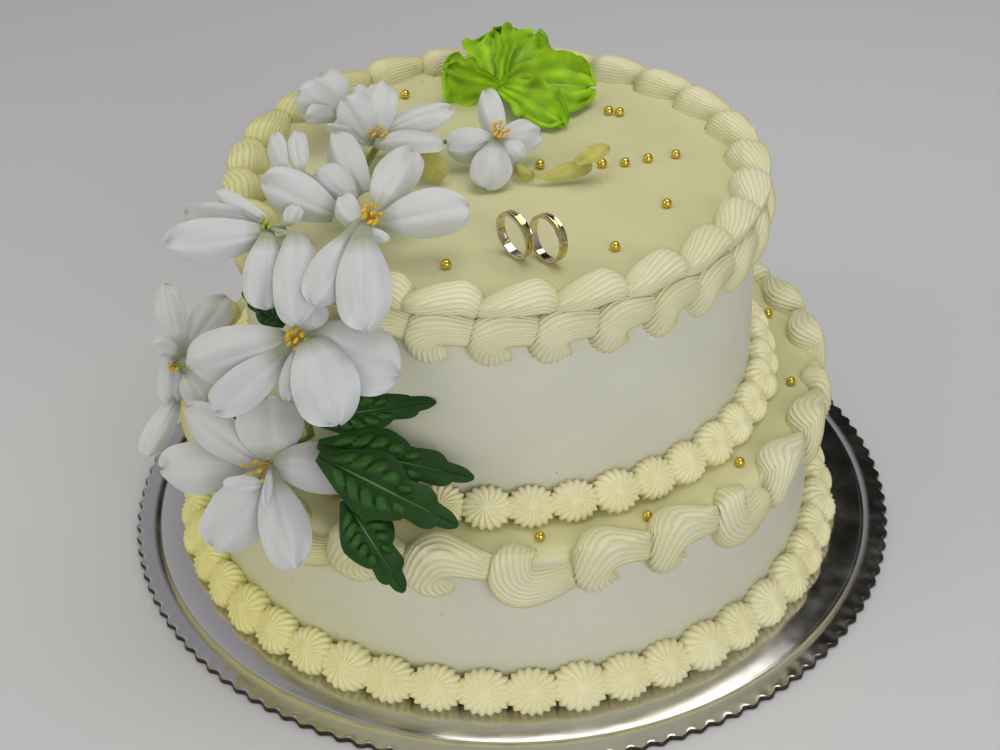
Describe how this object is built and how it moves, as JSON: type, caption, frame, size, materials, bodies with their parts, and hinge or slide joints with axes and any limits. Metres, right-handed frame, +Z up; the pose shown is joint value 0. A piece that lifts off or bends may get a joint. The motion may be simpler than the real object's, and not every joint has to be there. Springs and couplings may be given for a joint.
{
  "type": "tiered wedding cake",
  "caption": "Round iced tiered wedding cake on a scalloped silver board, with piped cream borders, a spray of silk flowers and leaves, gold pearls and wedding rings.",
  "frame": {"origin": "middle of the cake board's flat underside", "axes": "+Z up through the tiers; -Y towards the front that the picture looks at; +X to its right"},
  "size_m": [0.3999, 0.4, 0.2333],
  "materials": {
    "buttercream": "soft satin buttercream",
    "silver_foil": "embossed foil on card",
    "gold_metal": "polished gold",
    "white_silk": "silk petals",
    "green_leaf": "embossed cloth leaf",
    "bright_leaf": "thin ruffled cloth leaf",
    "pale_leaf": "thin cloth leaf"
  },
  "bodies": {
    "root": {"blossom_behind": "white_silk", "blossom_bud": "white_silk", "blossom_front": "white_silk", "blossom_left": "white_silk", "blossom_low": "white_silk", "blossom_middle": "white_silk", "blossom_right": "white_silk", "blossom_side": "white_silk", "blossom_top": "white_silk", "board": "silver_foil", "leaf_bottom": "green_leaf", "leaf_bright": "bright_leaf", "leaf_hidden": "green_leaf", "leaf_lower": "green_leaf", "leaf_middle": "green_leaf", "leaf_pale": "pale_leaf", "leaf_small": "green_leaf", "leaf_upper": "green_leaf", "lower_base_border": "buttercream", "lower_edge_border": "buttercream", "lower_tier": "buttercream", "pick_front": "green_leaf", "pick_left": "green_leaf", "sprig": "pale_leaf", "sprig_far": "pale_leaf", "stem_lower": "green_leaf", "stem_upper": "green_leaf", "upper_base_border": "buttercream", "upper_edge_border": "buttercream", "upper_tier": "buttercream", "wedding_ring_left": "gold_metal", "wedding_ring_right": "gold_metal"}
  },
  "joints": []
}
